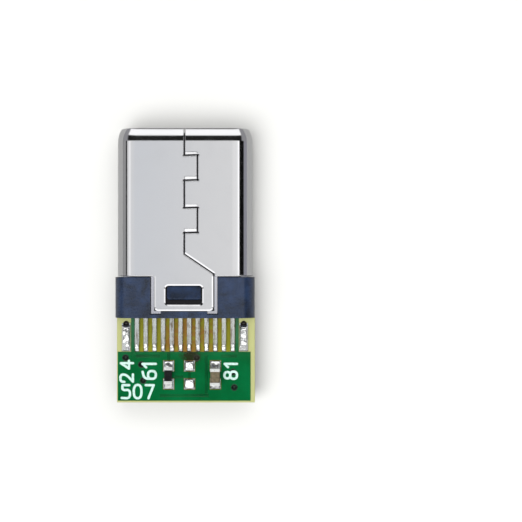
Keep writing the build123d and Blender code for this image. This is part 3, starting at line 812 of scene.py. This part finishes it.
# Lacquer that sags into the plated holes, with the copper ring showing as a low rim round each; its
# near-black colour is painted shade of the deep holes
viaShapes = {
    # across, and back from the board's front
    "places": [
        (-3.619, 2.43), (-2.653, 2.85), (-2.546, 3.82), (0.713, 2.44), (2.933, 3.31), (3.008, 4.24)],
    # radius and height
    "rings": [
        (0.001, -0.13), (0.04, -0.128), (0.08, -0.12), (0.11, -0.08), (0.135, -0.01), (0.155, 0.010),
        (0.175, 0.013), (0.195, 0.010), (0.21, -0.004)],
    "ringsBelow": 6,
    # near-black colours: painted shade of the holes under the lacquer
    "dark": "010D06",
    "light": "021A0D",
}
dishSteps = 28


def turnedDish(x, back, face, rings, facing=1):
    # a profile of radius and height, turned once round an upright axis
    radii, lifts = np.array(rings).T
    angles = np.arange(dishSteps) * math.tau / dishSteps
    points = np.stack(np.broadcast_arrays(
        x + radii[:, None] * np.cos(angles),
        boardFront - back + radii[:, None] * np.sin(angles),
        facing * (face + lifts)[:, None]), axis=-1).reshape(-1, 3)
    faces = gridFaces(len(radii), dishSteps, closed=True)
    centre = list(range(dishSteps))
    if facing > 0:
        return points, [*faces[:, ::-1].tolist(), centre]
    return points, [*faces.tolist(), centre[::-1]]


vias = [turnedDish(x, back, maskFace, viaShapes["rings"]) for x, back in viaShapes["places"]]
vias += [
    turnedDish(x, back, landFace, viaShapes["rings"][:viaShapes["ringsBelow"]], -1)
    for x, back in viaShapes["places"]]
meshPiece("lacqueredHoles", *joinParts(vias),
          greenMask("lacquerInPlatedHolesPaintedShade", viaShapes["dark"], viaShapes["light"]), "solder_mask_green")


# Painted shade in the open holes in front of the latch solder: a near black, glossy dish in each
latchHoleShade = {
    "back": 0.37,
    "rings": [
        (0.001, -0.10), (0.06, -0.095), (0.11, -0.06), (0.145, -0.01), (0.165, 0.012), (0.185, -0.02)],
    # near-black colours: painted shade of the open holes
    "stops": [(0.4, "070605"), (0.65, "1E1811")],
    "grainSize": 0.12,
    "detail": 3.0,
    "shader": {"IOR": 1.5, "Roughness": 0.15},
}
pits = [
    turnedDish(side * latchShapes["x"], latchHoleShade["back"], landFace, latchHoleShade["rings"]) for side in (-1, 1)]
meshPiece("shadeDishesInLatchHoles", *joinParts(pits), grainedMaterial("paintedShadeInLatchHoles", latchHoleShade), "solder")


# Copper tracks under the lacquer: low ribs between a few places, in millimetres across and back
trackShapes = {
    "width": 0.16,
    "height": 0.014,
    # from right to left, as shares of half the width and of the height
    "profile": [(-1, -0.1), (-0.7, 1), (0.7, 1), (1, -0.1)],
    "paths": [
        [(-2.98, 2.33), (-1.52, 2.33)],
        [(2.20, 2.33), (3.17, 2.33)],
        [(-1.52, 4.74), (1.45, 4.74)],
        [(-0.99, 2.12), (-0.99, 2.58)],
        [(0.278, 3.30), (0.278, 3.68)],
        [(-0.60, 3.60), (-0.10, 3.60)],
        [(1.30, 2.30), (1.30, 4.62)],
    ],
    "dark": "033519",
    "light": "044A23",
}


def trackRib(path):
    # the profile of shares carried along one path on the board
    line = np.array([(x, boardFront - back) for x, back in path])
    offsets, lifts = np.array(trackShapes["profile"]).T
    halfWidths = np.full(len(line), trackShapes["width"] / 2)
    return carriedBand(line, halfWidths, offsets, maskFace + lifts * trackShapes["height"], False)


meshPiece("tracksUnderLacquer", *joinParts([trackRib(path) for path in trackShapes["paths"]]),
          greenMask("lacquerOverCopper", trackShapes["dark"], trackShapes["light"]), "solder_mask_green",
          smooth=False)
print("holes and tracks made")


# Plain numbers screened on the board, drawn as rounded strokes in a box 1 high; True closes a stroke
legend = {
    "strokes": {
        "0": [(True, [(0.0, 0.0), (0.0, 1.0), (0.58, 1.0), (0.58, 0.0)])],
        "1": [(False, [(0.0, 0.72), (0.26, 0.98)]), (False, [(0.26, 0.98), (0.26, 0.0)])],
        "2": [(False, [(0.0, 0.70), (0.04, 1.02), (0.58, 1.02), (0.60, 0.55), (0.02, 0.0)]),
              (False, [(0.02, 0.0), (0.60, 0.0)])],
        "4": [(False, [(0.44, 0.98), (0.0, 0.32)]), (False, [(0.0, 0.32), (0.62, 0.32)]),
              (False, [(0.44, 0.98), (0.44, 0.0)])],
        "5": [(False, [(0.56, 0.98), (0.06, 0.98)]),
              (False, [(0.06, 0.98), (0.04, 0.58), (0.62, 0.66), (0.62, -0.02), (0.0, 0.02)])],
        "6": [(False, [(0.52, 0.98), (0.02, 0.86), (0.0, 0.28)]),
              (True, [(0.0, 0.0), (0.0, 0.58), (0.58, 0.58), (0.58, 0.0)])],
        "7": [(False, [(0.0, 0.98), (0.60, 0.98)]), (False, [(0.60, 0.98), (0.20, 0.0)])],
        "8": [(True, [(0.04, 0.54), (0.04, 1.0), (0.54, 1.0), (0.54, 0.54)]),
              (True, [(0.0, 0.0), (0.0, 0.54), (0.58, 0.54), (0.58, 0.0)])],
    },
    "widths": {"1": 0.26},
    "usualWidth": 0.60,
    "strokeWidth": 0.145,
    "inkHeight": 0.016,
    "inkSink": 0.002,
    "layerStep": 0.002,
    "cuts": 3,
    "capAngles": [25, 50, 70, 85],
    # digits, centre across, centre back from the board's front, digit height, whole length, turn in degrees
    "places": [
        ("24", -3.54, 3.27, 0.75, 1.26, 90),
        ("61", -2.18, 3.26, 0.82, 0.91, 90),
        ("507", -2.87, 4.49, 0.81, 1.95, 0),
        ("81", 2.79, 3.26, 0.76, 0.91, 90),
    ],
}

# Epoxy ink screened on the lacquer: matt white with a cool cast from the green under it
inkFinish = {
    "stops": [(0.35, "8FAAA2"), (0.6, "A8C2BA")],
    "grainSize": 0.08,
    "detail": 3.0,
    "height": 0.003,
    "strength": 0.5,
    "shader": {"IOR": 1.5, "Roughness": 0.5},
}


def roundedStroke(closed, corners):
    # corner cutting: each run is replaced by its points at one quarter and three quarters
    line = np.array(corners, dtype=float)
    for _ in range(legend["cuts"]):
        ahead = np.roll(line, -1, axis=0) if closed else line[1:]
        start = line if closed else line[:-1]
        cut = np.stack([start * 0.75 + ahead * 0.25, start * 0.25 + ahead * 0.75], axis=1).reshape(-1, 2)
        line = cut if closed else np.concatenate([line[:1], cut, line[-1:]])
    return line


def strokeBand(closed, line, layer):
    # free ends are rounded by stations half * sin(a) beyond the end and half * cos(a) wide;
    # a stroke that crosses another lies one thin layer higher
    half = legend["strokeWidth"] / 2
    halfWidths = np.full(len(line), half)
    if not closed:
        angles = np.radians(legend["capAngles"])
        before = (line[0] - line[1]) / np.linalg.norm(line[0] - line[1])
        beyond = (line[-1] - line[-2]) / np.linalg.norm(line[-1] - line[-2])
        line = np.concatenate([
            line[0] + half * np.sin(angles[::-1])[:, None] * before, line,
            line[-1] + half * np.sin(angles)[:, None] * beyond])
        halfWidths = np.concatenate([half * np.cos(angles[::-1]), halfWidths, half * np.cos(angles)])
    low = maskFace - legend["inkSink"]
    high = maskFace + legend["inkHeight"] + layer * legend["layerStep"]
    return carriedBand(line, halfWidths, np.array([-1, -1, 1, 1]), np.array([low, high, high, low]), closed)


def numberPiece(index, digits, x, back, height, length, turn, material):
    # the digits stand side by side with equal gaps, then the number is scaled, turned and moved
    widths = [legend["widths"].get(digit, legend["usualWidth"]) for digit in digits]
    gap = (length / height - sum(widths)) / (len(digits) - 1)
    angle = math.radians(turn)
    parts = []
    for place, digit in enumerate(digits):
        left = sum(widths[:place]) + gap * place - length / height / 2
        for layer, (closed, corners) in enumerate(legend["strokes"][digit]):
            line = (roundedStroke(closed, corners) + (left, -0.5)) * height
            turned = np.stack([
                line[:, 0] * math.cos(angle) - line[:, 1] * math.sin(angle) + x,
                line[:, 0] * math.sin(angle) + line[:, 1] * math.cos(angle) + boardFront - back], axis=1)
            parts.append(strokeBand(closed, turned, layer))
    meshPiece(f"printedNumber{index}", *joinParts(parts), material, "solder_mask_green", smooth=False)


ink = grainedMaterial("whiteLegendInk", inkFinish)
for index, row in enumerate(legend["places"]):
    numberPiece(index + 1, *row, ink)
print("numbers printed")


# Studio: pale floor, a wide panel overhead, bright strips front and back, dark and grey cards at the sides
studio = {
    "floorColour": "BEBEBC",
    "floorSize": 1.2,
    "floorGrain": 0.4,
    "floorRoughness": (0.8, 0.9),
    "pixelsPerMillimetre": 16.29,
    "imageSize": 522,
    "plugCentrePixel": 185.5,
    "mouthPixel": 130.5,
    "cameraHeight": 55 * mm,
    "sensor": 36.0,
    # brightness or colour by angle from straight up towards +X, in degrees
    "across": [
        (-150, 0.40), (-92, 0.40), (-67, 0.46), (-65, 0.02), (-57, 0.02), (-55, 1.1), (-44, 1.1),
        (-42, 1.45), (-37, 1.45), (-35, 1.08), (-9, (0.95, 0.98, 1.02)), (-6, (0.98, 1.0, 1.03)),
        (-4.5, (1.04, 1.045, 1.05)), (2, (1.13, 1.13, 1.12)), (28, 1.25), (30.5, 1.8), (37, 1.8),
        (39.5, 0.005), (65, 0.005), (69, "A9A9B2"), (92, "A9A9B2"), (150, 0.45)],
    # brightness by angle from straight up towards +Y, in degrees
    "along": [
        (-90, 0.6), (-46, 0.9), (-41, 1.8), (-16, 1.8), (-13, 0.03), (10, 0.02), (28.5, 0.02), (32.5, 1.6),
        (55, 1.6), (57, 0.03), (90, 0.25)],
    # the part of the sky that follows "across", from and to, in degrees towards +Y
    "panelFrom": (-5.8, -5.3),
    "panelTo": (13, 10.5),
    # how far to each side the strips of "along" reach, in degrees: full, then none, and the grey beyond
    "stripReach": (50, 60),
    "sideGrey": "A9A9AC",
    # name, lean from straight down about X and Y in degrees, strength, width of the light in degrees
    "suns": [("softKey", (18, -24), 2.9, 50), ("softFill", (-30, 26), 1.6, 80)],
}


def makeFloor():
    material, tree, place = newMaterial("paleFloorBoard")
    grain = addNode(
        tree, "ShaderNodeTexNoise", {"Scale": 1 / (studio["floorGrain"] * mm), "Detail": 2.0},
        {"Vector": place})
    low, high = studio["floorRoughness"]
    roughness = addNode(tree, "ShaderNodeMapRange", {"To Min": low, "To Max": high}, {"Value": grain})
    finishMaterial(
        tree, {"Base Color": hexColour(studio["floorColour"]), "Specular IOR Level": 0.0},
        {"Roughness": roughness})
    half = studio["floorSize"] / 2
    level = cadBox[0].z
    mesh = bpy.data.meshes.new("floor")
    mesh.from_pydata(
        [(-half, -half, level), (half, -half, level), (half, half, level), (-half, half, level)], [],
        [(0, 1, 2, 3)])
    mesh.materials.append(material)
    floor = bpy.data.objects.new("floor", mesh)
    bpy.context.scene.collection.objects.link(floor)


def makeWorld():
    # inside the panel the sky follows "across", and elsewhere "along", whose strips end in plain grey
    world = bpy.data.worlds.new("softStudio")
    bpy.context.scene.world = world
    world.use_nodes = True
    tree = world.node_tree
    tree.nodes.clear()
    direction = addNode(tree, "ShaderNodeTexCoord").outputs["Generated"]
    split = addNode(tree, "ShaderNodeSeparateXYZ", {}, {"Vector": direction})
    angles = [
        addNode(
            tree, "ShaderNodeMath", {"operation": "ARCTAN2"},
            {0: split.outputs["X"], 1: split.outputs["Z"]}),
        addNode(tree, "ShaderNodeMath", {"operation": "ARCSINE"}, {0: split.outputs["Y"]}),
    ]
    ramps = []
    for angle, name in zip(angles, ("across", "along")):
        place = addNode(
            tree, "ShaderNodeMath", {"operation": "MULTIPLY_ADD", 1: 1 / math.tau, 2: 0.5}, {0: angle})
        stops = [(degrees / 360 + 0.5, value) for degrees, value in studio[name]]
        ramps.append(addNode(tree, "ShaderNodeValToRGB", {"stops": stops}, {"Fac": place}))
    steps = [
        addNode(
            tree, "ShaderNodeMapRange",
            {"interpolation_type": "SMOOTHSTEP", "From Min": math.radians(none),
             "From Max": math.radians(full)},
            {"Value": angles[1]})
        for none, full in (studio["panelFrom"], studio["panelTo"])]
    inPanel = addNode(tree, "ShaderNodeMath", {"operation": "MULTIPLY"}, {0: steps[0], 1: steps[1]})
    sideways = addNode(tree, "ShaderNodeMath", {"operation": "ABSOLUTE"}, {0: angles[0]})
    full, none = studio["stripReach"]
    stripShare = addNode(
        tree, "ShaderNodeMapRange",
        {"From Min": math.radians(none), "From Max": math.radians(full)}, {"Value": sideways})
    strips = addNode(
        tree, "ShaderNodeMix", {"data_type": "RGBA", 6: hexColour(studio["sideGrey"])},
        {0: stripShare, 7: ramps[1]})
    sky = addNode(
        tree, "ShaderNodeMix", {"data_type": "RGBA"}, {0: inPanel, 6: strips.outputs[2], 7: ramps[0]})
    background = addNode(tree, "ShaderNodeBackground", {}, {"Color": sky.outputs[2]})
    addNode(tree, "ShaderNodeOutputWorld", {}, {"Surface": background})


def makeSun(name, lean, strength, width):
    light = bpy.data.lights.new(name, "SUN")
    light.energy = strength
    light.angle = math.radians(width)
    light.cycles.max_bounces = 0
    lamp = bpy.data.objects.new(name, light)
    lamp.rotation_euler = (math.radians(lean[0]), math.radians(lean[1]), 0)
    lamp.visible_glossy = False
    bpy.context.scene.collection.objects.link(lamp)


def makeCamera():
    # straight down, placed so that the plug falls where the photograph has it
    scale = studio["pixelsPerMillimetre"]
    middle = studio["imageSize"] / 2
    camera = bpy.data.cameras.new("camera")
    camera.sensor_width = studio["sensor"]
    camera.lens = studio["sensor"] * studio["cameraHeight"] / (studio["imageSize"] / scale * mm)
    camera.clip_start = 1 * mm
    camera.clip_end = 10
    holder = bpy.data.objects.new("camera", camera)
    holder.location = (
        (middle - studio["plugCentrePixel"]) / scale * mm, -(middle - studio["mouthPixel"]) / scale * mm,
        studio["cameraHeight"])
    bpy.context.scene.collection.objects.link(holder)
    bpy.context.scene.camera = holder


makeFloor()
makeWorld()
for sun in studio["suns"]:
    makeSun(*sun)
makeCamera()
bpy.context.scene.view_settings.view_transform = "Standard"
bpy.context.scene.view_settings.look = "None"
print("studio set")
